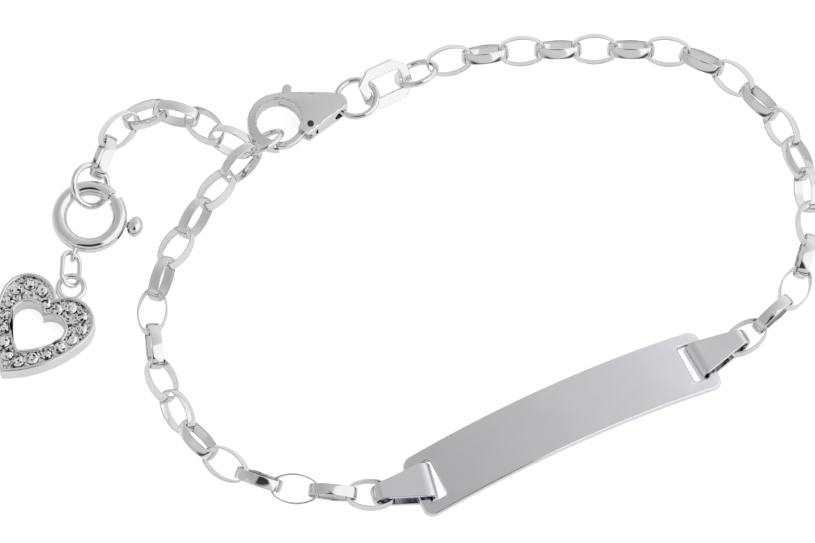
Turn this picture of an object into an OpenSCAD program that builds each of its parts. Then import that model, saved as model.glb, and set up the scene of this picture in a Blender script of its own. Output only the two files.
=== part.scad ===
// Child's identity bracelet: a bent name plate between two runs of oval belcher chain,
// closed by a lobster clasp, with an extension that carries a spring ring and a pave heart.
// Millimetres. The bracelet lies on the plane z = 0, opened out.

/* [Chain] */
// Length of a link over its ends
link_l = 3.74; // [3.3:0.02:4.4]
// Width of a link over its sides
link_w = 2.36; // [2.1:0.02:3]
// Width of the flat strip that a link is bent from
strip_w = 0.86; // [0.6:0.02:0.95]
// Thickness of that strip
strip_t = 0.16; // [0.1:0.01:0.22]
// Outer radius of a link's round ends
link_end_r = 0.95; // [0.8:0.05:1.05]
// Smallest play left between two links pulled taut
link_play = 0.03; // [0.01:0.01:0.1]

/* [Name plate] */
// Length of the plate
plate_l = 25; // [24:0.5:28]
// Width of the plate
plate_w = 5.1; // [4.8:0.1:7]
// Thickness of the plate
plate_t = 0.55; // [0.4:0.05:0.8]
// Radius to which the plate's top face is bent
plate_bend_r = 40; // [30:1:80]
// Corner radius of the plate
plate_corner_r = 0.8; // [0.4:0.1:1.4]
// Length of the slots, across the plate
slot_l = 3.1; // [3:0.05:3.6]
// Width of the slots, along the plate
slot_w = 1.25; // [1.2:0.05:1.5]
// Width of the bar left between a slot and the plate's end
slot_bar = 0.8; // [0.6:0.05:1]

/* [Bails] */
// Length of a bail, from its fold to its tip
bail_l = 4.9; // [4.6:0.1:5.4]
// Width of the strip at the fold, in the slot
bail_fold_w = 2.7; // [2.2:0.1:2.8]
// Width of the strip at the tip
bail_tip_w = 1; // [0.7:0.05:1.2]
// Thickness of the bail's strip
bail_t = 0.28; // [0.2:0.02:0.34]
// Height over the folded bail, near its fold
bail_h = 1.8; // [1.76:0.02:2]

/* [Jump rings] */
// Outer diameter of the ring on the clasp's hook
end_ring_d = 3.6; // [3.5:0.05:3.8]
// Wire diameter of that ring
end_ring_wire = 0.46; // [0.4:0.02:0.5]
// Outer diameter of the rings on both sides of the tag link
joining_ring_d = 3.65; // [3.5:0.05:3.9]
// Outer diameter of the ring round the spring ring
charm_ring_d = 3.7; // [3.6:0.05:4]
// Wire diameter of the other jump rings
ring_wire = 0.5; // [0.4:0.02:0.56]
// Length of the small oval link that holds the heart
charm_link_l = 3.1; // [2.9:0.05:3.4]
// Width of that link
charm_link_w = 2; // [1.8:0.05:2.2]
// Wire diameter of that link
charm_link_wire = 0.38; // [0.32:0.02:0.42]

/* [Tag link] */
// Length of the flat eight-sided link
tag_l = 4.2; // [4.1:0.1:4.8]
// Width of that link
tag_w = 3.4; // [3.2:0.1:4]
// Thickness of that link
tag_t = 0.4; // [0.3:0.05:0.5]
// Width of its metal at both ends
tag_end_band = 0.78; // [0.6:0.02:0.84]
// Width of its metal along both sides
tag_side_band = 0.92; // [0.7:0.02:1]

/* [Lobster clasp] */
// Outer radius of the hook
hook_r = 2.45; // [2.4:0.05:2.7]
// Radius of the opening inside the hook
throat_r = 1.72; // [1.6:0.02:1.8]
// Distance from the middle of the hook to the middle of the tail
clasp_reach = 4.8; // [4.6:0.1:5.4]
// Radius of the rounded tail
tail_r = 0.78; // [0.74:0.02:0.9]
// Greatest thickness of the clasp
clasp_t = 2; // [1.9:0.05:2.4]
// Bore through the tail for its ring
tail_bore_d = 1; // [0.94:0.02:1.04]
// Thickness of the lever
lever_t = 0.6; // [0.5:0.05:0.7]
// Play between the lever and the slot on each of its faces
lever_play = 0.06; // [0.04:0.01:0.1]
// Diameter of the rivet
rivet_d = 0.52; // [0.46:0.02:0.56]
// Radial play between the rivet and the lever
rivet_play = 0.03; // [0.02:0.01:0.05]

/* [Spring ring] */
// Outer diameter of the spring ring
spring_ring_d = 5.85; // [5.6:0.05:6.4]
// Diameter of its tube
spring_tube_d = 1.15; // [1.1:0.05:1.3]
// Diameter of the sliding bolt
bolt_d = 0.56; // [0.5:0.02:0.6]
// Radial play of the bolt in the tube
bolt_play = 0.05; // [0.04:0.01:0.08]
// Length of the thumb knob, along the ring
knob_l = 1.7; // [1.3:0.05:1.8]
// Thickness of the thumb knob
knob_d = 1.25; // [1:0.05:1.3]
// Outer diameter of the fixed eye
spring_eye_d = 1.3; // [1.26:0.02:1.4]
// Wire diameter of the fixed eye
spring_eye_wire = 0.32; // [0.28:0.02:0.34]

/* [Heart] */
// Width of the heart
heart_w = 7.9; // [7.6:0.1:9]
// Length from the top of the lobes to the point
heart_l = 8.3; // [8:0.1:9.4]
// Thickness of the heart
heart_t = 1.5; // [1.4:0.1:2]
// Width of the opening in the heart
heart_hole_w = 4.3; // [4:0.1:4.5]
// Length of the opening from its lobes to its point
heart_hole_l = 3.85; // [3.6:0.05:4.2]
// Width of the heart's metal above the opening
heart_band = 2.2; // [2.15:0.05:2.4]
// Width of the raised rims along both edges
rim_w = 0.3; // [0.24:0.02:0.34]
// Depth of the channel between the rims
channel_d = 0.34; // [0.3:0.02:0.4]
// Diameter of the stones
stone_d = 0.88; // [0.82:0.02:0.9]
// Outer diameter of the heart's eye ring
heart_eye_d = 2.45; // [2.4:0.05:2.7]
// Wire diameter of the heart's eye ring
heart_eye_wire = 0.46; // [0.42:0.02:0.5]

/* [Hidden] */
$fn = 48;

// Height of the chain's middle line above the surface it lies on
chain_z = 1.31;

// Plate
plate_pos = [11.45, -12.55];
plate_turn = 25.8;
plate_end_z = bail_t + 0.08;
plate_rise = plate_bend_r - sqrt(pow(plate_bend_r, 2) - pow(plate_l / 2, 2));

// Bails, and how far each is turned against the plate
bail_left_turn = -11;
bail_right_turn = 3;
bail_tip_h = 1.75;
bail_slot_play = 0.36;

// Ends of both runs, measured from the fold of their bail: [along it, to its left, z]
left_run_in = [[8.9, -1.3, 1.5], [6.25, -0.45, 1.15], [3.55, 0.2, 0.85]];
right_run_in = [[8.5, 0.6, 1.5], [5.95, 0.15, 1.05], [3.3, -0.15, 0.85]];

// Where the chains run, as the middle line of the links: [x, y, z]
left_route = concat([
    [-12.15, 9.9, 1.85], [-14.25, 7.85, 1.35], [-16.2, 5.15, chain_z], [-18.8, 0.45, chain_z],
    [-19.8, -3.25, chain_z], [-19.5, -7.55, chain_z], [-17.7, -11.85, chain_z], [-14.9, -15.45, chain_z],
    [-10.8, -17.65, chain_z]
], from_bail(-1, bail_left_turn, left_run_in));
right_route = concat([
    [1.6, 17.55, chain_z], [5.8, 18.5, chain_z], [11.7, 18.85, chain_z], [17.7, 18.85, chain_z],
    [21.9, 18.35, chain_z], [25.6, 15.95, chain_z], [28.9, 11.95, chain_z], [30.6, 6.95, chain_z],
    [30.6, 1.95, chain_z], [29.65, -0.85, chain_z]
], from_bail(1, bail_right_turn, right_run_in));
extension_route = [
    [-12.75, 10.4, 1.15], [-15.15, 11.35, 1.45], [-16.7, 12.85, chain_z], [-18.9, 13.75, chain_z],
    [-21.5, 12.95, chain_z], [-23.4, 11.05, chain_z], [-24.2, 8.35, chain_z]
];

// How far the chain is turned about its own line, in degrees: [share of the run, turn].
// Odd links lie at this angle to the surface and even links square to it.
left_twist = [[0, 117], [0.3, 105], [0.57, 48], [0.8, 24], [0.97, 0], [1, 0]];
right_twist = [[0, 45], [0.6, 45], [0.8, 75], [0.97, 90], [1, 90]];
extension_twist = [[0, 130], [0.2, 98], [0.4, 96], [0.6, 118], [0.8, 140], [1, 163]];

// Links of a run, kept odd or even so that its last link lies flat in its bail
link_sag = inner_end_sag(link_end_r - strip_t, strip_w / 2);
pitch_max = link_l - 2 * strip_t - 2 * link_sag - link_play;
left_links = chain_links(left_route, left_twist, 1);
right_links = chain_links(right_route, right_twist, 0);
extension_links = chain_links(extension_route, extension_twist, 0);
left_count = len(left_links);
right_count = len(right_links);
extension_count = len(extension_links);

// Rings: [x, y, z, heading of the level diameter, turn about it]
end_ring_at = [-11.46, 10.74, 1.46, 36.5, 128.5];
clasp_ring_at = [-4.26, 14.64, 1.28, -79.5, 4.5];
chain_ring_at = [0.4, 16.81, 1.22, 30.5, -37];
charm_ring_at = [-24.75, 7.1, 1.35, 67, 43];
tag_at = [-1.99, 15.81, 1.39, 27.5, 40];
charm_link_at = [-26.15, 0.28, 0.79, -91.5, -38.5];
spring_ring_at = [-24.8, 4.65, 0.95, 0, 5];
tag_chamfer = [0.25 * tag_l, 0.265 * tag_w];
tag_hole_corner_r = 0.2;

// Clasp
clasp_at = [-10.3, 12.55, 1.15];
clasp_turn = 18.5;
rivet_at = [2.22, -1.22];
tip_angle = 222;
gate_angle = 314;
tip_reach = 3.14;
tip_gap = 0.06;
dome_across_r = 6.4;
dome_along_r = 24;
lug_wall = 0.25;
lever_band = 0.53;
lever_top_angle = 60;
thumb_angle = 59;
thumb_r = 0.4;
thumb_reach = 3.35;
rivet_seat_play = 0.005;
pocket_tail_web = 0.3;
pocket_under_rivet = [[-0.4, -3 * hook_r], [0.35, -0.6]];
pocket_hook_side = [[0.6, 3 * hook_r], [0.45, 1.2], [0.3, 0], [0.1, -3 * hook_r]];

// Spring ring, angles about its middle
spring_r = (spring_ring_d - spring_tube_d) / 2;
gap_from = 32;
gap_to = 46;
knob_angle = -13;
slot_end_angle = -40;
bolt_socket = 6;
bore_past_slot = 20;
slot_past_knob = 6;
knob_gap = 0.06;
eye_angle = -110;
eye_sunk = 0.03;

// Heart, whose own origin is midway between the middles of its lobes
heart_turn = -33.4;
lobe_r = 0.2722 * heart_w;
flank_r = 9;
hole_lobe_r = 0.2674 * heart_hole_w;
hole_flank_r = 6;
lobe_x = heart_w / 2 - lobe_r;
tip_y = lobe_r - heart_l;
hole_lobe_x = heart_hole_w / 2 - hole_lobe_r;
hole_tip_y = hole_lobe_r - heart_hole_l;
hole_y = lobe_r - heart_band - hole_lobe_r;
// Middle of the eye ring, in the heart and on the surface
heart_eye_at = heart_w * [0.0316, 0.3481];
heart_eye_place = [-26.0775, -1.2618];
heart_at = heart_eye_place - [
    cos(heart_turn) * heart_eye_at[0] - sin(heart_turn) * heart_eye_at[1],
    sin(heart_turn) * heart_eye_at[0] + cos(heart_turn) * heart_eye_at[1]
];
stone_gap = 0.16;
stone_margin = 0.14;
stone_inset = rim_w + stone_d / 2 + stone_margin;
stone_play = 0.03;
seat_r = 0.38 * stone_d;
seat_depth = 0.75;
table_r = 0.29 * stone_d;
crown_h = 0.16 * stone_d;
girdle_h = 0.03 * stone_d;
pavilion_h = 0.44 * stone_d;
// The pavilion rests a hair above the edge of its seat
girdle_z = heart_t - channel_d + pavilion_h * (1 - 2 * seat_r / stone_d) + 0.02;
grain_r = 0.12;
grain_out = 0.43;
grain_sunk = 0.1;
stones = heart_stone_places();

// Distance from the plate's middle to the fold of a bail that is turned against the plate
function fold_at(turn) =
    plate_l / 2 - slot_bar - bail_slot_play - bail_fold_w / 2 * abs(tan(turn)) - bail_t;

// Heading of the bail on one side of the plate, -1 for its left end and 1 for its right end
function bail_heading(side, turn) = plate_turn + (side < 0 ? 180 : 0) + turn;

function fold_point(side, turn) = plate_pos + side * fold_at(turn) * [cos(plate_turn), sin(plate_turn)];

// Points [along a bail, to its left, z] in the bracelet's own frame
function from_bail(side, turn, points) =
    let (fold = fold_point(side, turn), a = bail_heading(side, turn))
    [for (p = points)
        [fold[0] + p[0] * cos(a) - p[1] * sin(a), fold[1] + p[0] * sin(a) + p[1] * cos(a), p[2]]];

function two_digits(i) = i < 10 ? str("0", i) : str(i);

// How far a round end of radius r falls back at a distance h from its middle
function inner_end_sag(r, h) = r - sqrt(r * r - h * h);

// Point at parameter u on a smooth curve through the points of a route
function route_point(pts, u) =
    let (last = len(pts) - 1, i = min(floor(u), last - 1), t = u - i,
         p1 = pts[i], p2 = pts[i + 1],
         p0 = i > 0 ? pts[i - 1] : 2 * p1 - p2,
         p3 = i < last - 1 ? pts[i + 2] : 2 * p2 - p1)
    0.5 * (2 * p1 + (p2 - p0) * t + (2 * p0 - 5 * p1 + 4 * p2 - p3) * t * t
        + (3 * p1 - p0 - 3 * p2 + p3) * t * t * t);

// Table of [length so far, parameter] along a route
function route_table(pts, steps = 10) =
    let (n = (len(pts) - 1) * steps, p = [for (k = [0:n]) route_point(pts, k / steps)])
    [for (k = 0, s = 0; k <= n; k = k + 1, s = k <= n ? s + norm(p[k] - p[k - 1]) : s) [s, k / steps]];

// Places [middle, direction, turn] of the links along a route; parity 1 gives an odd number.
// Where the run bends, two links swing about the middles of their own round ends, so a flat link
// keeps the bends at its two ends and an upright link lies straight between its neighbours.
function chain_links(pts, twist, parity) =
    let (table = route_table(pts), whole = table[len(table) - 1][0],
         n = 2 * ceil((whole / pitch_max - parity) / 2) + parity, pitch = whole / n,
         swing = pitch / 2 - link_l / 2 + link_end_r)
    [for (i = [1:n])
        let (from = joint_at(i - 1, n, pitch, swing, twist), to = joint_at(i, n, pitch, swing, twist),
             a = at_length(pts, table, from), b = at_length(pts, table, to),
             middle = (i - 0.5) * pitch, share = (middle - from) / (to - from),
             turn = lookup((i - 0.5) / n, twist) + across(i),
             bend = bend_at(pts, table, middle, pitch / 2), lift = -swing / 2 * bend * sin(2 * turn))
        [a + (b - a) * share + [0, 0, lift], b - a, turn]];

function across(i) = i % 2 == 0 ? 90 : 0;

// Distance along a route of the joint between links k and k + 1
function joint_at(k, n, pitch, swing, twist) =
    k == 0 || k == n ? k * pitch : k * pitch - swing * cos(2 * (lookup(k / n, twist) + across(k)));

function at_length(pts, table, s) = route_point(pts, lookup(s, table));

// Angle in radians by which a route bends to the left within a distance reach on both sides of s
function bend_at(pts, table, s, reach) =
    let (p = at_length(pts, table, s - reach), q = at_length(pts, table, s),
         r = at_length(pts, table, s + reach), u = q - p, v = r - q)
    2 * (u[0] * v[1] - u[1] * v[0]) / (norm(u) * norm(v));

// Moves a piece drawn about the origin to [x, y, z, heading, turn about the heading]
module lay(at) {
    translate([at[0], at[1], at[2]]) rotate([0, 0, at[3]]) rotate([at[4], 0, 0]) children();
}

// Oval of four arcs: two ends of radius r and two long sides
module oval(l, w, r) {
    reach = l / 2 - r;
    side_r = (reach * reach + w * w / 4 - r * r) / (w - 2 * r);
    seam = reach * side_r / (side_r - r);
    for (side = [-1, 1]) translate([side * reach, 0]) circle(r = r);
    intersection() {
        translate([0, w / 2 - side_r]) circle(r = side_r, $fn = 96);
        translate([0, side_r - w / 2]) circle(r = side_r, $fn = 96);
        square([2 * seam, 2 * w], center = true);
    }
}

// Union of two circles and the belt round them, from the origin to [d, 0]
module belt(r1, r2, d) {
    lean = asin((r1 - r2) / d);
    circle(r = r1);
    translate([d, 0]) circle(r = r2);
    polygon([
        [r1 * sin(lean), -r1 * cos(lean)], [d + r2 * sin(lean), -r2 * cos(lean)],
        [d + r2 * sin(lean), r2 * cos(lean)], [r1 * sin(lean), r1 * cos(lean)]
    ]);
}

module rounded_rectangle(l, w, r) {
    square([l - 2 * r, w], center = true);
    square([l, w - 2 * r], center = true);
    for (x = [-1, 1], y = [-1, 1]) translate([x * (l / 2 - r), y * (w / 2 - r)]) circle(r = r);
}

module torus(d, wire) {
    rotate_extrude($fn = 72) translate([(d - wire) / 2, 0]) circle(d = wire, $fn = 24);
}

// Part of a torus of middle radius r, between two angles
module torus_arc(r, d, from, to) {
    rotate([0, 0, from])
    rotate_extrude(angle = to - from, $fn = 72) translate([r, 0]) circle(d = d, $fn = 32);
}

// Link at a place [middle, direction, turn about its own length]
module link(place) {
    along = place[1];
    translate(place[0])
    rotate([0, -asin(along[2] / norm(along)), atan2(along[1], along[0])])
    rotate([place[2], 0, 0])
    color("silver")
    linear_extrude(strip_w, center = true)
    difference() {
        oval(link_l, link_w, link_end_r);
        oval(link_l - 2 * strip_t, link_w - 2 * strip_t, link_end_r - strip_t);
    }
}

module id_plate() {
    color("gainsboro")
    translate([plate_pos[0], plate_pos[1], 0])
    rotate([0, 0, plate_turn])
    intersection() {
        translate([0, 0, plate_end_z + plate_t + plate_rise - plate_bend_r])
        rotate([90, 0, 0])
        difference() {
            cylinder(r = plate_bend_r, h = 2 * plate_w, center = true, $fn = 360);
            cylinder(r = plate_bend_r - plate_t, h = 3 * plate_w, center = true, $fn = 360);
        }
        linear_extrude(plate_end_z + plate_rise + 2 * plate_t)
        difference() {
            rounded_rectangle(plate_l, plate_w, plate_corner_r);
            for (side = [-1, 1]) translate([side * (plate_l / 2 - slot_bar - slot_w / 2), 0])
                rounded_rectangle(slot_w, slot_l, slot_w / 6);
        }
    }
}

// Side view of a bail as a closed loop, its fold at the origin and its tip along +x
module bail_loop(inset) {
    fold_r = bail_h / 2;
    tip_r = bail_tip_h / 2;
    translate([fold_r, fold_r])
    belt(fold_r - inset, tip_r - inset, bail_l - fold_r - tip_r);
}

module bail(side, turn) {
    color("gainsboro")
    translate(concat(fold_point(side, turn), 0))
    rotate([0, 0, bail_heading(side, turn)])
    intersection() {
        rotate([90, 0, 0])
        linear_extrude(bail_fold_w, center = true)
        difference() {
            bail_loop(0);
            bail_loop(bail_t);
        }
        linear_extrude(bail_h)
        polygon([
            [0, bail_fold_w / 2], [bail_h / 2, bail_fold_w / 2], [bail_l, bail_tip_w / 2],
            [bail_l, -bail_tip_w / 2], [bail_h / 2, -bail_fold_w / 2], [0, -bail_fold_w / 2]
        ]);
    }
}

module end_ring() { color("silver") lay(end_ring_at) torus(end_ring_d, end_ring_wire); }

module clasp_ring() { color("silver") lay(clasp_ring_at) torus(joining_ring_d, ring_wire); }

module chain_ring() { color("silver") lay(chain_ring_at) torus(joining_ring_d, ring_wire); }

module charm_ring() { color("silver") lay(charm_ring_at) torus(charm_ring_d, ring_wire); }

module tag_link() {
    x = tag_l / 2;
    y = tag_w / 2;
    color("gainsboro")
    lay(tag_at)
    linear_extrude(tag_t, center = true)
    difference() {
        polygon([
            [x, y - tag_chamfer[1]], [x - tag_chamfer[0], y],
            [tag_chamfer[0] - x, y], [-x, y - tag_chamfer[1]],
            [-x, tag_chamfer[1] - y], [tag_chamfer[0] - x, -y],
            [x - tag_chamfer[0], -y], [x, tag_chamfer[1] - y]
        ]);
        rounded_rectangle(tag_l - 2 * tag_end_band, tag_w - 2 * tag_side_band, tag_hole_corner_r);
    }
}

module charm_link() {
    end_r = (charm_link_w - charm_link_wire) / 2;
    half_straight = (charm_link_l - charm_link_w) / 2;
    color("silver")
    lay(charm_link_at)
    for (side = [-1, 1]) {
        translate([side * half_straight, 0, 0])
        torus_arc(end_r, charm_link_wire, -90 * side, 180 - 90 * side);
        translate([0, side * end_r, 0])
        rotate([0, 90, 0]) cylinder(d = charm_link_wire, h = 2 * half_straight, center = true, $fn = 32);
    }
}

// Places a piece of the clasp, drawn flat about the middle of the hook
module in_clasp() {
    translate(clasp_at) rotate([0, 0, clasp_turn]) children();
}

// Barrel along the clasp whose side is the clasp's rounded face on one side, 1 or -1
module barrel(side) {
    translate([clasp_reach / 2, 0, side * (clasp_t / 2 - dome_across_r)])
    rotate([0, 90, 0])
    rotate_extrude($fn = 360)
    intersection() {
        translate([dome_across_r - dome_along_r, 0]) circle(r = dome_along_r, $fn = 360);
        translate([0, -2 * clasp_reach]) square([dome_across_r, 4 * clasp_reach]);
    }
}

// Lens between both faces of the clasp
module clasp_dome() {
    intersection() {
        barrel(1);
        barrel(-1);
    }
}

// Sector of the plane between two angles, out to radius r
module sector(r, from, to) {
    step = (to - from) / 4;
    polygon(concat([[0, 0]], [for (a = [from:step:to + step / 2]) r * [cos(a), sin(a)]]));
}

module lobster_body() {
    color("silver")
    in_clasp()
    difference() {
        intersection() {
            clasp_dome();
            linear_extrude(2 * clasp_t, center = true)
            difference() {
                belt(hook_r, tail_r, clasp_reach);
                circle(r = throat_r);
                intersection() {
                    sector(3 * hook_r, tip_angle, gate_angle);
                    translate(rivet_at) circle(r = tip_reach, $fn = 96);
                }
            }
        }
        linear_extrude(lever_t + 2 * lever_play, center = true) lever_pocket();
        at_rivet() cylinder(d = rivet_d, h = 2 * clasp_t, center = true);
        translate([clasp_reach, 0, 0])
        rotate([90, 0, 0])
        cylinder(d = tail_bore_d, h = 4 * tail_r, center = true);
    }
}

// Room between the body's cheeks in which the lever turns, closed at the tail and below the rivet
module lever_pocket() {
    tail_side = clasp_reach - tail_r - pocket_tail_web;
    polygon(concat(
        [for (p = pocket_under_rivet) rivet_at + p],
        [[tail_side, 0], [tail_side, 3 * hook_r]],
        pocket_hook_side
    ));
}

module at_rivet() { translate([rivet_at[0], rivet_at[1], 0]) children(); }

// Gate that closes the throat, the lug round the rivet and the thumb tab in one piece
module lobster_lever() {
    lever_r = throat_r + lever_band;
    color("silver")
    in_clasp()
    linear_extrude(lever_t, center = true)
    difference() {
        union() {
            intersection() {
                circle(r = lever_r);
                sector(3 * hook_r, tip_angle - 360, lever_top_angle);
                translate(rivet_at) circle(r = tip_reach - tip_gap, $fn = 96);
            }
            translate(rivet_at) circle(r = rivet_d / 2 + lug_wall);
            rotate([0, 0, thumb_angle]) {
                translate([0, -thumb_r]) square([thumb_reach - thumb_r, 2 * thumb_r]);
                translate([thumb_reach - thumb_r, 0]) circle(r = thumb_r);
            }
        }
        circle(r = throat_r);
        translate(rivet_at) circle(d = rivet_d + 2 * rivet_play);
    }
}

module lobster_rivet() {
    color("gray")
    in_clasp()
    intersection() {
        clasp_dome();
        at_rivet() cylinder(r = rivet_d / 2 - rivet_seat_play, h = 2 * clasp_t, center = true);
    }
}

module spring_ring_body() {
    bore = bolt_d + 2 * bolt_play;
    color("silver")
    lay(spring_ring_at)
    union() {
        difference() {
            torus_arc(spring_r, spring_tube_d, gap_to, 360 + gap_from);
            torus_arc(spring_r, bore, gap_to - 1, gap_to + bolt_socket);
            torus_arc(spring_r, bore, slot_end_angle - bore_past_slot, gap_from + 1);
            knob_slot();
        }
        rotate([0, 0, eye_angle])
        translate([(spring_ring_d + spring_eye_d) / 2 - spring_eye_wire + eye_sunk, 0, 0])
        rotate([90, 0, 0])
        torus(spring_eye_d, spring_eye_wire);
    }
}

// Slot in the outside of the tube in which the thumb knob's neck travels
module knob_slot() {
    rotate([0, 0, slot_end_angle])
    rotate_extrude(angle = knob_angle - slot_end_angle + slot_past_knob, $fn = 72)
    translate([spring_r, -bolt_d / 2])
    square([spring_tube_d, bolt_d]);
}

// Rounded barrel that lies along the ring
module knob() {
    rotate([90, 0, 0])
    rotate_extrude($fn = 48)
    intersection() {
        rotate([0, 0, 90]) oval(knob_l, knob_d, knob_d / 3);
        translate([0, -knob_l]) square([knob_l, 2 * knob_l]);
    }
}

module spring_ring_bolt() {
    neck_r = 0.4 * bolt_d;
    color("silver")
    lay(spring_ring_at) {
        torus_arc(spring_r, bolt_d, knob_angle - 5, gap_to + bolt_socket / 2);
        rotate([0, 0, knob_angle]) translate([spring_r, 0, 0]) {
            rotate([0, 90, 0]) cylinder(r = neck_r, h = spring_tube_d, $fn = 32);
            translate([(spring_tube_d + knob_d) / 2 + knob_gap, 0, 0]) knob();
        }
    }
}

// Middle of the circle of radius big that bounds a heart's right side: it touches the lobe of
// radius r about [x, 0] from outside and passes through the point [0, tip]
function flank(x, r, tip, big) =
    let (a = (x * x - tip * tip + big * big - pow(big - r, 2)) / (2 * x), b = tip / x, h = 1 + b * b,
         k = b * (x - a), y = (k + sqrt(k * k - h * (pow(x - a, 2) - pow(big - r, 2)))) / h)
    [a + b * y, y];

// Heart outline, moved outwards by grow
module heart_shape(x, r, tip, big, grow) {
    middle = flank(x, r, tip, big);
    out = 3 * ([x, 0] - middle) / (big - r);
    cleft = [0, sqrt(r * r - x * x)];
    for (side = [-1, 1]) translate([side * x, 0]) circle(r = r + grow);
    difference() {
        union() {
            intersection() {
                translate(middle) circle(r = big + grow, $fn = 144);
                translate([-middle[0], middle[1]]) circle(r = big + grow, $fn = 144);
                polygon([
                    [x, 0], [x, 0] + out, [x + out[0], 2 * tip], [-x - out[0], 2 * tip],
                    [-x - out[0], out[1]], [-x, 0]
                ]);
            }
            polygon([[-x, 0], [x, 0], cleft]);
        }
        if (grow < 0) translate(cleft) circle(r = -grow);
    }
}

module heart_outline(grow) { heart_shape(lobe_x, lobe_r, tip_y, flank_r, grow); }

module heart_hole(grow) {
    translate([0, hole_y]) heart_shape(hole_lobe_x, hole_lobe_r, hole_tip_y, hole_flank_r, grow);
}

// Arcs [middle, radius, from, to] that run along the middle of the channel, from cleft to point
function stone_arcs(inset) =
    let (cleft = [0, sqrt(lobe_r * lobe_r - lobe_x * lobe_x)],
         middle = flank(lobe_x, lobe_r, tip_y, flank_r),
         lean = atan2(-cleft[1], lobe_x), seam = atan2(-middle[1], lobe_x - middle[0]))
    [
        [cleft, inset, -90, lean],
        [[lobe_x, 0], lobe_r - inset, lean + 180, seam],
        [middle, flank_r - inset, seam, -acos(-middle[0] / (flank_r - inset))]
    ];

function arc_length(arc) = abs(arc[3] - arc[2]) * arc[1] * PI / 180;

// Point at a distance s along a row of arcs
function along(arcs, s, i = 0) =
    i < len(arcs) - 1 && s > arc_length(arcs[i]) ? along(arcs, s - arc_length(arcs[i]), i + 1)
    : let (arc = arcs[i], a = arc[2] + sign(arc[3] - arc[2]) * s / arc[1] * 180 / PI)
      arc[0] + arc[1] * [cos(a), sin(a)];

// Rows of stones down both sides, as near together as the bend of the lobes allows
function heart_stone_places() =
    let (arcs = stone_arcs(stone_inset), half = (stone_d + stone_gap) / 2,
         bend_r = lobe_r - stone_inset, least = 2 * bend_r * asin(half / bend_r) * PI / 180,
         first = stone_inset * asin(half / stone_inset) * PI / 180,
         whole = arc_length(arcs[0]) + arc_length(arcs[1]) + arc_length(arcs[2]),
         last = whole - half / sin(-arcs[2][3]),
         steps = floor((last - first) / least))
    [for (k = [0:steps]) along(arcs, first + k * (last - first) / steps)];

// Places a piece of the heart, drawn flat about the heart's own origin
module in_heart() {
    translate([heart_at[0], heart_at[1], 0]) rotate([0, 0, heart_turn]) children();
}

module at_stones() {
    for (p = stones, half = [-1, 1]) translate([half * p[0], p[1], 0]) children();
}

// Beads of metal that hold the stones, in the corners between neighbours
module grains() {
    for (k = [0:len(stones) - 2], side = [-1, 1]) {
        across = stones[k + 1] - stones[k];
        at = (stones[k] + stones[k + 1]) / 2 + side * grain_out * [-across[1], across[0]] / norm(across);
        for (half = [-1, 1]) translate([half * at[0], at[1], heart_t - channel_d - grain_sunk])
            cylinder(r = grain_r, h = channel_d, $fn = 24);
    }
}

module heart() {
    color("silver")
    in_heart() {
        difference() {
            linear_extrude(heart_t) difference() {
                heart_outline(0);
                heart_hole(0);
            }
            translate([0, 0, heart_t - channel_d]) linear_extrude(heart_t) {
                difference() {
                    heart_outline(-rim_w);
                    heart_hole(rim_w);
                }
                at_stones() circle(d = stone_d + 2 * stone_play);
            }
            translate([0, 0, heart_t - seat_depth])
            at_stones() cylinder(r = seat_r, h = heart_t, $fn = 24);
        }
        grains();
        translate([heart_eye_at[0], heart_eye_at[1], heart_t / 2]) torus(heart_eye_d, heart_eye_wire);
    }
}

// Eight-sided brilliant with its girdle's lower edge at z = 0
module stone() {
    rotate([0, 0, 22.5]) {
        translate([0, 0, girdle_h]) cylinder(r1 = stone_d / 2, r2 = table_r, h = crown_h, $fn = 8);
        cylinder(d = stone_d, h = girdle_h, $fn = 8);
        translate([0, 0, -pavilion_h]) cylinder(r1 = 0, r2 = stone_d / 2, h = pavilion_h, $fn = 8);
    }
}

module heart_stones() {
    color("white")
    in_heart() translate([0, 0, girdle_z]) at_stones() stone();
}

id_plate();
bail(-1, bail_left_turn);  // bail_left
bail(1, bail_right_turn);  // bail_right
for (i = [1:left_count])
    link(left_links[i - 1]);
for (i = [1:right_count])
    link(right_links[i - 1]);
for (i = [1:extension_count])
    link(extension_links[i - 1]);
end_ring();
lobster_body();
lobster_lever();
lobster_rivet();
clasp_ring();
tag_link();
chain_ring();
charm_ring();
spring_ring_body();
spring_ring_bolt();
charm_link();
heart();
heart_stones();
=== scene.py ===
# Child's identity bracelet laid open on a white table: name plate, belcher chain, two clasps and a heart.
import math
import bmesh
import bpy
import mathutils
import numpy as np
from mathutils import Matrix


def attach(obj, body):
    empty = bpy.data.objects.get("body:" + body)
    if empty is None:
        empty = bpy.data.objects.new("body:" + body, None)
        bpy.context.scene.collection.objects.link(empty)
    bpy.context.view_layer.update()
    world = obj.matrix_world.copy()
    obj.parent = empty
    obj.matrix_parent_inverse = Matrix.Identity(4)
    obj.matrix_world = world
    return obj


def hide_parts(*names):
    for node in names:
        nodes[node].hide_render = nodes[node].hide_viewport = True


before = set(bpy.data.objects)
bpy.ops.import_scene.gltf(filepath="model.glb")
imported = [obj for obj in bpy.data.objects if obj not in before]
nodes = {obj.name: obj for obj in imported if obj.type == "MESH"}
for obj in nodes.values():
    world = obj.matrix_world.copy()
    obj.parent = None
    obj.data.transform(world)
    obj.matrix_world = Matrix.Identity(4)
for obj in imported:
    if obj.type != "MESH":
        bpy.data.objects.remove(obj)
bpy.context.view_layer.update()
mm = 0.001
tau = 2 * math.pi
print("frame loaded:", len(nodes), "solids")


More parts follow.
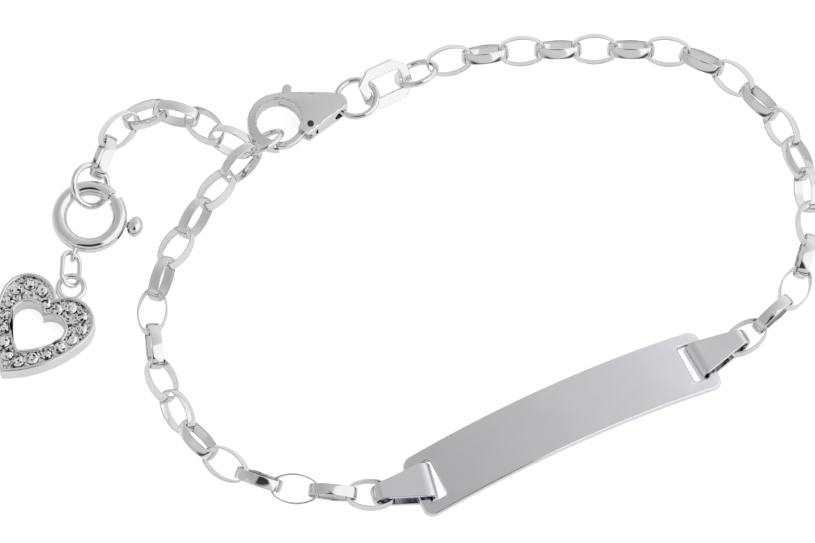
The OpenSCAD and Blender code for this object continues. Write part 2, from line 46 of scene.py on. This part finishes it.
def makeObject(name, points, faces, smooth=True):
    # points are in millimetres in the bracelet's own frame
    mesh = bpy.data.meshes.new(name)
    mesh.from_pydata((np.asarray(points) * mm).tolist(), [], [list(face) for face in faces])
    mesh.polygons.foreach_set("use_smooth", np.full(len(mesh.polygons), smooth))
    mesh.update()
    obj = bpy.data.objects.new(name, mesh)
    bpy.context.scene.collection.objects.link(obj)
    return obj


def closedGrid(nu, nv):
    # quads of a grid that closes on itself both ways
    i, j = np.meshgrid(np.arange(nu), np.arange(nv), indexing="ij")
    i2, j2 = (i + 1) % nu, (j + 1) % nv
    return np.stack([i * nv + j, i2 * nv + j, i2 * nv + j2, i * nv + j2], -1).reshape(-1, 4)


def carry(path, outward, upward, profile):
    # a closed profile (a, b) carried along a closed path:
    # point(u, v) = path(u) + a(v) * outward(u) + b(v) * upward
    points = path[:, None] + profile[None, :, :1] * outward[:, None] + profile[None, :, 1:] * upward
    return points.reshape(-1, 3), closedGrid(len(path), len(profile))


def cadPoints(node):
    # the solid's corners in millimetres, each once
    data = nodes[node].data
    flat = np.empty(len(data.vertices) * 3)
    data.vertices.foreach_get("co", flat)
    return np.unique((flat.reshape(-1, 3) / mm).round(4), axis=0)


def lieOf(node):
    # where a loop lies: its middle, its long axis, the axis across it and the normal of its plane,
    # from the directions in which its corners spread most and least
    points = cadPoints(node)
    middle = (points.max(0) + points.min(0)) / 2
    for turn in range(3):
        axes = np.linalg.eigh(np.cov((points - middle).T))[1]
        local = (points - middle) @ axes
        middle = middle + axes @ ((local.max(0) + local.min(0)) / 2)
    long, normal = axes[:, 2], axes[:, 0]
    return middle, long, np.cross(normal, long), normal


def place(local, lie):
    # local x, y, z along the loop's own axes
    middle, long, across, normal = lie
    return middle + local[..., :1] * long + local[..., 1:2] * across + local[..., 2:] * normal


# Materials. Noise is read from object coordinates, so the marks stay on the metal.
marks = {
    "cloudScale": 420, "cloudDetail": 3,                # patches in tone and gloss, per metre
    "dullPatch": 1.3, "glossyPatch": 0.7,               # their shares of a metal's roughness
    "scratchScale": 2600, "scratchDetail": 2, "scratchDepth": 0.00001,
    "facetDepth": 0.00004, "paintedGlintBlue": 1.04,           # relief of small facets, blue tint of the painted glints' half tones
    "noiseLow": 0.3, "noiseHigh": 0.7,                  # where nearly all of a noise lies
}


def nodeMaterial(name):
    material = bpy.data.materials.new(name)
    material.use_nodes = True
    tree = material.node_tree
    shader = tree.nodes["Principled BSDF"]
    coords = tree.nodes.new("ShaderNodeTexCoord")
    return material, tree, shader, coords


def noiseField(tree, coords, scale, detail, stretch=(1, 1, 1)):
    mapping = tree.nodes.new("ShaderNodeMapping")
    mapping.inputs["Scale"].default_value = stretch
    noise = tree.nodes.new("ShaderNodeTexNoise")
    noise.inputs["Scale"].default_value = scale
    noise.inputs["Detail"].default_value = detail
    tree.links.new(coords.outputs["Object"], mapping.inputs["Vector"])
    tree.links.new(mapping.outputs["Vector"], noise.inputs["Vector"])
    return noise.outputs["Fac"]


def spreadTo(tree, field, low, high):
    # spreads a noise over low to high
    spread = tree.nodes.new("ShaderNodeMapRange")
    spread.inputs["From Min"].default_value = marks["noiseLow"]
    spread.inputs["From Max"].default_value = marks["noiseHigh"]
    spread.inputs["To Min"].default_value = low
    spread.inputs["To Max"].default_value = high
    tree.links.new(field, spread.inputs["Value"])
    return spread.outputs["Result"]


def tipLight(tree, shader, height, strength, depth):
    # bump over the whole surface
    bump = tree.nodes.new("ShaderNodeBump")
    bump.inputs["Strength"].default_value = strength
    bump.inputs["Distance"].default_value = depth
    tree.links.new(height, bump.inputs["Height"])
    tree.links.new(bump.outputs["Normal"], shader.inputs["Normal"])


def silver(name, bright, dull, roughness, scratch, grain=(1, 1, 1)):
    # polished silver: cloudy patches in tone and gloss, and hairline scratches along the grain
    material, tree, shader, coords = nodeMaterial(name)
    shader.inputs["Metallic"].default_value = 1.0
    clouds = noiseField(tree, coords, marks["cloudScale"], marks["cloudDetail"])
    tone = tree.nodes.new("ShaderNodeMix")
    tone.data_type = "RGBA"
    tone.inputs["A"].default_value = (*dull, 1)
    tone.inputs["B"].default_value = (*bright, 1)
    tree.links.new(spreadTo(tree, clouds, 0, 1), tone.inputs["Factor"])
    tree.links.new(tone.outputs["Result"], shader.inputs["Base Color"])
    gloss = spreadTo(tree, clouds, roughness * marks["dullPatch"], roughness * marks["glossyPatch"])
    tree.links.new(gloss, shader.inputs["Roughness"])
    lines = noiseField(tree, coords, marks["scratchScale"], marks["scratchDetail"], grain)
    tipLight(tree, shader, lines, scratch, marks["scratchDepth"])
    return material


def paintedSparkle(name, metallic, roughness, cell, stops, relief):
    # painted reflections: hard-edged light and dark patches in the colour, as small facets throw them. cell:
    # their size in millimetres,
    # stops: (share of the patches, grey) along the ramp, relief: how far the patches tip the light
    material, tree, shader, coords = nodeMaterial(name)
    shader.inputs["Metallic"].default_value = metallic
    shader.inputs["Roughness"].default_value = roughness
    cells = tree.nodes.new("ShaderNodeTexVoronoi")
    cells.inputs["Scale"].default_value = 1000 / cell
    tree.links.new(coords.outputs["Object"], cells.inputs["Vector"])
    parts = tree.nodes.new("ShaderNodeSeparateColor")
    tree.links.new(cells.outputs["Color"], parts.inputs["Color"])
    # the ramp paints the glints: black, grey and white cells stand in for reflected light and shade
    tone = tree.nodes.new("ShaderNodeValToRGB")
    ends = tone.color_ramp.elements
    ends[0].position, ends[0].color = stops[0][0], (stops[0][1],) * 3 + (1,)
    ends[1].position, ends[1].color = stops[-1][0], (stops[-1][1],) * 3 + (1,)
    for share, grey in stops[1:-1]:
        ends.new(share).color = (grey, grey, grey * marks["paintedGlintBlue"], 1)
    tree.links.new(parts.outputs["Red"], tone.inputs["Fac"])
    tree.links.new(tone.outputs["Color"], shader.inputs["Base Color"])
    tipLight(tree, shader, cells.outputs["Distance"], relief, marks["facetDepth"])
    return material


chainSilver = silver("chain_silver", (0.85, 0.85, 0.86), (0.79, 0.79, 0.80), 0.08, 0.10)
ringSilver = silver("ring_silver", (0.85, 0.85, 0.86), (0.80, 0.80, 0.81), 0.07, 0.08)
plateSilver = silver("plate_silver", (0.84, 0.84, 0.87), (0.81, 0.81, 0.845), 0.11, 0.05, (0.15, 1, 1))
claspSilver = silver("clasp_silver", (0.84, 0.84, 0.85), (0.80, 0.80, 0.81), 0.08, 0.08)
heartSilver = silver("heart_silver", (0.88, 0.88, 0.89), (0.80, 0.80, 0.81), 0.10, 0.15)
rivetSteel = silver("rivet_steel", (0.10, 0.10, 0.11), (0.06, 0.06, 0.07), 0.35, 0.2)
# the stones' material holds painted reflections: light and dark glint patches in its base colour
stoneSparklePainted = paintedSparkle("stone_painted_sparkle", 0.5, 0.04, 0.17, ((0.16, 0.01), (0.26, 0.35), (0.42, 1.0)), 0.3)
# the channel floor's material holds painted reflections: near-black and near-white glint patches in its base
# colour
paveGlintsPainted = paintedSparkle("pave_painted_glints", 0.9, 0.15, 0.15, ((0.12, 0.04), (0.28, 0.55), (0.55, 0.98)), 0.6)
print("materials made")


def finishPiece(obj, material, slot, body, *replaced):
    obj.data.materials.clear()
    obj.data.materials.append(material)
    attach(obj, body)
    if replaced:
        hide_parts(*replaced)


# Chain links: strip bent to an oval
chain = {
    "length": 3.74, "width": 2.36, "endRadius": 0.95,   # over the strip's outside
    "stripWidth": 0.86, "stripThickness": 0.16,
    "around": 88, "perCorner": 4,                        # points along the oval and at a strip corner
    "facePoints": (0.02, 0.14, 0.27, 0.4),               # over half a broad face, in strip widths
    "cornerRadius": 0.02,                                # of the strip's four edges
    "outerCrown": 0.032, "innerCrown": 0.015,            # how far the broad faces fall back at their edges
}


def ovalPath(facts):
    # the strip's middle line, an oval of two end arcs and two side arcs: the point whose outward
    # normal has the angle a is the middle of its arc plus the arc's radius times (cos a, sin a)
    length, width = facts["length"] - facts["stripThickness"], facts["width"] - facts["stripThickness"]
    endRadius = facts["endRadius"] - facts["stripThickness"] / 2
    perEighth = facts["around"] // 8
    reach = length / 2 - endRadius
    sideRadius = (reach ** 2 + width ** 2 / 4 - endRadius ** 2) / (width - 2 * endRadius)
    seam = math.atan2(sideRadius - width / 2, reach)
    quarter = np.concatenate([np.linspace(0, seam, perEighth, endpoint=False),
                              np.linspace(seam, tau / 4, perEighth, endpoint=False)])
    half = np.concatenate([quarter, (tau / 2 - np.append(quarter[1:], tau / 4))[::-1]])
    a = np.concatenate([half, half + tau / 2])
    normal = np.stack([np.cos(a), np.sin(a), 0 * a], -1)
    onEnd = np.abs(np.sin(a)) <= math.sin(seam) + 1e-9
    middle = np.stack([np.where(onEnd, reach * np.sign(np.cos(a)), 0),
                       np.where(onEnd, 0, (width / 2 - sideRadius) * np.sign(np.sin(a))), 0 * a], -1)
    radius = np.where(onEnd, endRadius, sideRadius)
    return middle + radius[:, None] * normal, normal


def stripProfile(facts):
    # rectangle with rounded corners: corner middle + cornerRadius * (cos v, sin v), v over a quarter
    # turn. Both broad faces are then crowned: a falls by crown * (2 b / width) ** 2
    thickness, width, radius = facts["stripThickness"], facts["stripWidth"], facts["cornerRadius"]
    v = np.linspace(0, tau / 4, facts["perCorner"])
    corner = radius * np.stack([np.cos(v), np.sin(v)], -1)
    corner = corner + [thickness / 2 - radius, width / 2 - radius]
    up = width * np.array(facts["facePoints"])
    half = np.vstack([np.stack([np.full(len(up), thickness / 2), up], -1), corner])
    half = np.vstack([half, (half * [-1, 1])[::-1]])
    a, b = np.vstack([half, -half]).T
    crown = np.where(a > 0, facts["outerCrown"], facts["innerCrown"]) * (2 * b / width) ** 2
    return np.stack([a - np.sign(a) * crown, b], -1)


ovalPoints, ovalNormals = ovalPath(chain)
linkPoints, linkFaces = carry(ovalPoints, ovalNormals, np.array([0, 0, 1.0]), stripProfile(chain))
linkNames = sorted(name for name in nodes if "_link_" in name and name not in ("tag_link", "charm_link"))
for name in linkNames:
    piece = makeObject(name + "_strip", place(linkPoints, lieOf(name)), linkFaces)
    finishPiece(piece, chainSilver, "chain_metal", "bracelet", name)
print("chain links:", len(linkNames))


# Jump rings and the charm's oval link, all of round wire. straight: the stretch between an oval's ends
rings = {
    "end_ring": {"outer": 3.6, "wire": 0.46, "straight": 0},
    "clasp_ring": {"outer": 3.65, "wire": 0.5, "straight": 0},
    "chain_ring": {"outer": 3.65, "wire": 0.5, "straight": 0},
    "charm_ring": {"outer": 3.7, "wire": 0.5, "straight": 0},
    "charm_link": {"outer": 2.0, "wire": 0.38, "straight": 1.1},
}
wireDetail = {"around": 96, "across": 20}


def circlePoints(count):
    # unit circle: (cos a, sin a)
    a = np.arange(count) * tau / count
    return np.stack([np.cos(a), np.sin(a)], -1)


def wireLoop(size):
    # round wire along a circle whose two halves stand apart by the straight stretch:
    # path = radius * (cos a, sin a, 0), moved half the stretch towards its own side
    outward = np.pad(circlePoints(wireDetail["around"]), ((0, 0), (0, 1)))
    path = (size["outer"] - size["wire"]) / 2 * outward
    path[:, 0] += np.sign(outward[:, 0]) * size["straight"] / 2
    return carry(path, outward, np.array([0, 0, 1.0]), size["wire"] / 2 * circlePoints(wireDetail["across"]))


for name, size in rings.items():
    points, faces = wireLoop(size)
    piece = makeObject(name + "_wire", place(points, lieOf(name)), faces)
    finishPiece(piece, ringSilver, "ring_metal", "bracelet", name)
print("wire rings:", len(rings))


# Pieces cut from plate or cast: the solid's own faces, merged, with rounded edges. Where heights
# are given, only edges that lie wholly in one of these ranges of z are rounded, in millimetres, and
# none within a spared cylinder: (x, y) of its axis, radius, lowest and highest z.
anyHeight = (-9, 9)
softened = {
    "id_plate": {"edge": 0.15, "finish": plateSilver, "slot": "plate_metal", "body": "bracelet"},
    "bail_left": {"edge": 0.05, "finish": plateSilver, "slot": "plate_metal", "body": "bracelet"},
    "bail_right": {"edge": 0.05, "finish": plateSilver, "slot": "plate_metal", "body": "bracelet"},
    "tag_link": {"edge": 0.08, "finish": ringSilver, "slot": "plate_metal", "body": "bracelet"},
    "lobster_body": {"edge": 0.15, "finish": claspSilver, "slot": "clasp_metal", "body": "bracelet",
                     "heights": ((-1, 0.78), (1.52, 4)),             # not at the lever's pocket
                     "spared": (((-7.808, 12.098), 0.4, *anyHeight),   # rivet hole
                                ((-8.2, 11.4), 0.75, *anyHeight),      # end of the cheeks
                                ((-5.748, 14.073), 1.1, 0.5, 1.8))},   # bore in the tail
    "lobster_lever": {"edge": 0.12, "finish": claspSilver, "slot": "clasp_metal", "body": "clasp_lever"},
    "lobster_rivet": {"edge": 0.05, "finish": rivetSteel, "slot": "rivet_metal", "body": "bracelet"},
    "spring_ring_body": {"edge": 0.03, "finish": claspSilver, "slot": "clasp_metal", "body": "bracelet"},
    "spring_ring_bolt": {"edge": 0.03, "finish": claspSilver, "slot": "clasp_metal", "body": "ring_bolt"},
    "heart": {"edge": 0.12, "finish": heartSilver, "slot": "heart_metal", "body": "bracelet",
              "heights": ((-0.01, 0.01), (1.49, 1.51))},              # its flat back and front
}
rounding = {
    "merge": 0.0002,                          # corners nearer than this are one
    "flat": 0.5, "sharp": 35, "shaded": 34,   # degrees: merged below, rounded above, shaded smooth below
    "sectors": 8, "segments": 4,
}


def softCopy(node, edge, heights=(anyHeight,), spared=()):
    # worked on in millimetres, where the bevel is exact; flat faces are merged within each sector
    # of a turn about the middle, so that none of them closes round a hole
    mesh = nodes[node].data.copy()
    work = bmesh.new()
    work.from_mesh(mesh)
    bmesh.ops.scale(work, vec=(1 / mm,) * 3, verts=work.verts)
    bmesh.ops.remove_doubles(work, verts=work.verts, dist=rounding["merge"])
    middle = np.mean([corner.co[:] for corner in work.verts], 0)
    for face in work.faces:
        x, y, z = face.calc_center_median() - mathutils.Vector(middle)
        face.material_index = int((math.atan2(y, x) / tau + 0.5) * (rounding["sectors"] - 0.01))
    bmesh.ops.dissolve_limit(work, angle_limit=math.radians(rounding["flat"]), verts=work.verts,
                             edges=work.edges, delimit={"MATERIAL"})
    chosen = []
    for line in work.edges:
        levels = [corner.co.z for corner in line.verts]
        inRange = any(low < min(levels) and max(levels) < high for low, high in heights)
        x, y, z = (line.verts[0].co + line.verts[1].co) / 2
        kept = any(math.hypot(x - axis[0], y - axis[1]) < radius and low < z < high
                   for axis, radius, low, high in spared)
        if inRange and not kept and line.calc_face_angle(0) > math.radians(rounding["sharp"]):
            chosen.append(line)
    bmesh.ops.bevel(work, geom=chosen, offset=edge, offset_type="OFFSET", segments=rounding["segments"],
                    profile=0.5, affect="EDGES", clamp_overlap=False, loop_slide=True)
    bmesh.ops.triangulate(work, faces=[face for face in work.faces if len(face.verts) > 4])
    for face in work.faces:
        face.smooth = True
        face.material_index = 0
    for line in work.edges:
        line.smooth = line.calc_face_angle(0) < math.radians(rounding["shaded"])
    bmesh.ops.scale(work, vec=(mm,) * 3, verts=work.verts)
    work.to_mesh(mesh)
    work.free()
    obj = bpy.data.objects.new(node + "_polished", mesh)
    bpy.context.scene.collection.objects.link(obj)
    flat = obj.modifiers.new("flat faces stay flat", "WEIGHTED_NORMAL")
    flat.keep_sharp = True
    return obj


for name, facts in softened.items():
    piece = softCopy(name, facts["edge"], facts.get("heights", (anyHeight,)), facts.get("spared", ()))
    finishPiece(piece, facts["finish"], facts["slot"], facts["body"], name)
print("plate, clasp and heart made")

# The heart's channel floor between the rims is beaded all over by bump, and painted with light and dark
# glints in its colour
pave = {
    "channelFloor": 1.16, "floorWithin": 0.02,              # height of the floor
    "neighbours": 1.25, "girdle": 0.43,                      # stones this near share grains, this far aside
    "grainRadius": 0.13, "grainTop": 1.4, "grainsAcross": 10,
}
heartMesh = bpy.data.objects["heart_polished"].data
heartMesh.materials.append(paveGlintsPainted)
for face in heartMesh.polygons:
    if face.normal.z > 0.9 and abs(face.center.z / mm - pave["channelFloor"]) < pave["floorWithin"]:
        face.material_index = 1


# Round brilliants, one mesh for all, standing where the solid stones stand; their sparkle is painted into
# their colour as light and dark patches
stoneCut = {
    "diameter": 0.94, "crown": 0.15, "girdle": 0.03, "pavilion": 0.42,
    "table": 0.56, "bezel": 0.8, "lower": 0.55,        # radii of the rings of corners, in girdle radii
    "bezelHeight": 0.55, "lowerDepth": 0.5,            # in crown heights and in pavilion depths
    "pointWithin": 0.01,                               # corners this near the lowest are points of stones
}


def cornerRing(count, radius, z, turn):
    # regular polygon: radius * (cos a, sin a) at the height z, turned by a share of its step
    a = (np.arange(count) + turn) * tau / count
    return np.stack([radius * np.cos(a), radius * np.sin(a), np.full(count, z)], -1)


def brilliant(cut):
    # rings of corners from the table down: 8 at the table, 8 on the bezel, 16 round the girdle above
    # and below, 8 on the pavilion, and the point
    r, c, g, p = cut["diameter"] / 2, cut["crown"], cut["girdle"], cut["pavilion"]
    points = np.vstack([
        cornerRing(8, r * cut["table"], g + c, 0),
        cornerRing(8, r * cut["bezel"], g + c * cut["bezelHeight"], 0.5),
        cornerRing(16, r, g, 0),
        cornerRing(16, r, 0, 0),
        cornerRing(8, r * cut["lower"], -p * cut["lowerDepth"], 0.5),
        [[0, 0, -p]],
    ])
    i = np.arange(8)
    after, before = (i + 1) % 8, (i - 1) % 8
    table, bezel, girdle, underside, lower, point = 0, 8, 16, 32, 48, 56   # first corner of each ring
    main, half, end = 2 * i, 2 * i + 1, 2 * after                         # girdle corners of one eighth
    w = np.arange(16)
    groups = [
        [table + i, bezel + i, table + after],
        [table + i, bezel + before, girdle + main, bezel + i],
        [bezel + i, girdle + main, girdle + half],
        [bezel + i, girdle + half, girdle + end],
        [girdle + w, underside + w, underside + (w + 1) % 16, girdle + (w + 1) % 16],
        [underside + main, lower + i, underside + half],
        [underside + half, lower + i, underside + end],
        [lower + i, underside + main, lower + before],
        [lower + i, lower + before, np.full(8, point)],
    ]
    faces = [np.arange(8).tolist()]
    for group in groups:
        faces += np.stack(group, -1).tolist()
    return points, faces


stoneCorners = cadPoints("heart_stones")
lowest = stoneCorners[:, 2].min()
culets = stoneCorners[stoneCorners[:, 2] < lowest + stoneCut["pointWithin"]]
cutPoints, cutFaces = brilliant(stoneCut)
allPoints = ((culets + [0, 0, stoneCut["pavilion"]])[:, None] + cutPoints).reshape(-1, 3)
starts = range(0, len(allPoints), len(cutPoints))
allFaces = [[corner + start for corner in face] for start in starts for face in cutFaces]
stones = makeObject("heart_brilliants", allPoints, allFaces, False)
finishPiece(stones, stoneSparklePainted, "stones", "bracelet", "heart_stones")
print("stones:", len(culets))


# Grains that hold the stones: small beads on both sides of the channel between each stone and the next
def beads(middles, radius, across):
    # sphere: middle + radius * (sin v cos u, sin v sin u, cos v), each pole one point
    u = np.arange(across) * tau / across
    v = np.arange(1, across // 2) * tau / 2 / (across // 2)
    rows = np.stack([np.outer(np.sin(v), np.cos(u)), np.outer(np.sin(v), np.sin(u)),
                     np.outer(np.cos(v), np.ones(across))], -1).reshape(-1, 3)
    ball = radius * np.vstack([rows, [[0, 0, 1], [0, 0, -1]]])
    last = len(rows)
    k, n = np.arange(across), (np.arange(across) + 1) % across
    faces = []
    for row in range(len(v) - 1):
        top, low = row * across, (row + 1) * across
        faces += np.stack([top + k, low + k, low + n, top + n], -1).tolist()
    faces += np.stack([np.full(across, last), k, n], -1).tolist()
    faces += np.stack([np.full(across, last + 1), last - across + n, last - across + k], -1).tolist()
    points = (np.asarray(middles)[:, None] + ball).reshape(-1, 3)
    starts = range(0, len(points), len(ball))
    return points, [[corner + start for corner in face] for start in starts for face in faces]


between = culets[:, None] - culets[None]
apart = np.linalg.norm(between, axis=-1)
first, second = np.where((apart > 0) & (apart < pave["neighbours"]))
pairs = first < second
first, second = first[pairs], second[pairs]
along = between[first, second] / apart[first, second][:, None]
aside = pave["girdle"] * np.stack([-along[:, 1], along[:, 0], 0 * along[:, 0]], -1)
middles = np.vstack([(culets[first] + culets[second]) / 2 + side * aside for side in (-1, 1)])
middles[:, 2] = pave["grainTop"] - pave["grainRadius"]
beadPoints, beadFaces = beads(middles, pave["grainRadius"], pave["grainsAcross"])
finishPiece(makeObject("heart_grains", beadPoints, beadFaces), heartSilver, "heart_metal", "bracelet")
print("grains:", len(middles))


# Table, light and camera. The table glows: brighter to the camera than to the metal.
table = {"half": 1500, "below": 0.03, "white": 0.93, "roughness": 0.9, "glow": 0.22, "glowToCamera": 0.38}
signs = ((-1, -1), (1, -1), (1, 1), (-1, 1))
corners = [(x * table["half"], y * table["half"], -table["below"]) for x, y in signs]
floor = makeObject("table", corners, [(0, 1, 2, 3)], False)
floorPaint, floorTree, floorShader = nodeMaterial("table_white")[:3]
floorShader.inputs["Base Color"].default_value = (table["white"],) * 3 + (1,)
floorShader.inputs["Roughness"].default_value = table["roughness"]
floorShader.inputs["Specular IOR Level"].default_value = 0.0
floorShader.inputs["Emission Color"].default_value = (1, 1, 1, 1)
seen = floorTree.nodes.new("ShaderNodeLightPath")
floor.data.materials.append(floorPaint)

# Light tent seen by the metal. Azimuth 0 is the right of the picture and 90 the far side; the
# photo was taken from azimuth -90. Each panel: azimuths, elevations, softness (degrees), brightness.
tent = {
    "overhead": 0.67, "horizon": 0.84, "turnsGrey": (20, 60),       # grey above, lighter near the table
    "leftShare": 0.70, "rightShare": 1.12, "sidesMeet": (-0.7, 0.7),   # how the left and right differ
    "panels": [
        ("side panel", (-66, 28), (3, 80), (6, 4), 1.10),
        ("front panel", (-160, -60), (15, 40), (6, 5), 0.70),
        ("camera", (-125, -60), (44, 81), (6, 6), 0.04),
        ("gap under the panels", (-125, -35), (3, 13), (9, 3), 0.06),
    ],
}


def mathNode(tree, operation, *values):
    node = tree.nodes.new("ShaderNodeMath")
    node.operation = operation
    for socket, value in zip(node.inputs, values):
        if isinstance(value, (int, float)):
            socket.default_value = value
        else:
            tree.links.new(value, socket)
    return node.outputs["Value"]


def ramp(tree, value, start, end, low, high):
    # smooth step from low at start to high at end
    step = tree.nodes.new("ShaderNodeMapRange")
    step.interpolation_type = "SMOOTHSTEP"
    for name, number in (("From Min", start), ("From Max", end), ("To Min", low), ("To Max", high)):
        step.inputs[name].default_value = number
    tree.links.new(value, step.inputs["Value"])
    return step.outputs["Result"]


def within(tree, value, limits, soft):
    rise = ramp(tree, value, limits[0] - soft, limits[0] + soft, 0, 1)
    fall = ramp(tree, value, limits[1] - soft, limits[1] + soft, 1, 0)
    return mathNode(tree, "MULTIPLY", rise, fall)


def studioWorld(tent):
    world = bpy.data.worlds.new("light_tent")
    bpy.context.scene.world = world
    world.use_nodes = True
    tree = world.node_tree
    coords = tree.nodes.new("ShaderNodeTexCoord")
    parts = tree.nodes.new("ShaderNodeSeparateXYZ")
    tree.links.new(coords.outputs["Generated"], parts.inputs["Vector"])
    x, y, z = (parts.outputs[axis] for axis in "XYZ")
    toDegrees = 360 / tau
    azimuth = mathNode(tree, "MULTIPLY", mathNode(tree, "ARCTAN2", y, x), toDegrees)
    elevation = mathNode(tree, "MULTIPLY", mathNode(tree, "ARCSINE", z), toDegrees)
    byHeight = ramp(tree, elevation, *tent["turnsGrey"], tent["horizon"], tent["overhead"])
    bySide = ramp(tree, x, *tent["sidesMeet"], tent["leftShare"], tent["rightShare"])
    level = mathNode(tree, "MULTIPLY", byHeight, bySide)
    for name, azimuths, elevations, softness, brightness in tent["panels"]:
        share = mathNode(tree, "MULTIPLY", within(tree, azimuth, azimuths, softness[0]),
                         within(tree, elevation, elevations, softness[1]))
        step = mathNode(tree, "SUBTRACT", brightness, level)
        level = mathNode(tree, "ADD", level, mathNode(tree, "MULTIPLY", share, step))
    tree.links.new(level, tree.nodes["Background"].inputs["Strength"])
    tree.nodes["Background"].inputs["Color"].default_value = (1, 1, 1, 1)


toCamera = seen.outputs["Is Camera Ray"]
glow = mathNode(floorTree, "MULTIPLY_ADD", toCamera, table["glowToCamera"], table["glow"])
floorTree.links.new(glow, floorShader.inputs["Emission Strength"])
studioWorld(tent)

photo = {"elevation": 66.0, "distance": 0.4, "lens": 229.7, "sensor": 36, "near": 0.01,
         "aim": (-0.0003, 0.00045, 0.0)}
cameraData = bpy.data.cameras.new("photo_camera")
cameraData.lens = photo["lens"]
cameraData.sensor_width = photo["sensor"]
cameraData.clip_start = photo["near"]
camera = bpy.data.objects.new("photo_camera", cameraData)
rise = math.radians(photo["elevation"])
camera.location = np.array(photo["aim"]) + photo["distance"] * np.array([0, -math.cos(rise), math.sin(rise)])
camera.rotation_euler = (tau / 4 - rise, 0, 0)
bpy.context.scene.collection.objects.link(camera)
bpy.context.scene.camera = camera
bpy.context.scene.view_settings.view_transform = "Standard"
print("table, light and camera set")
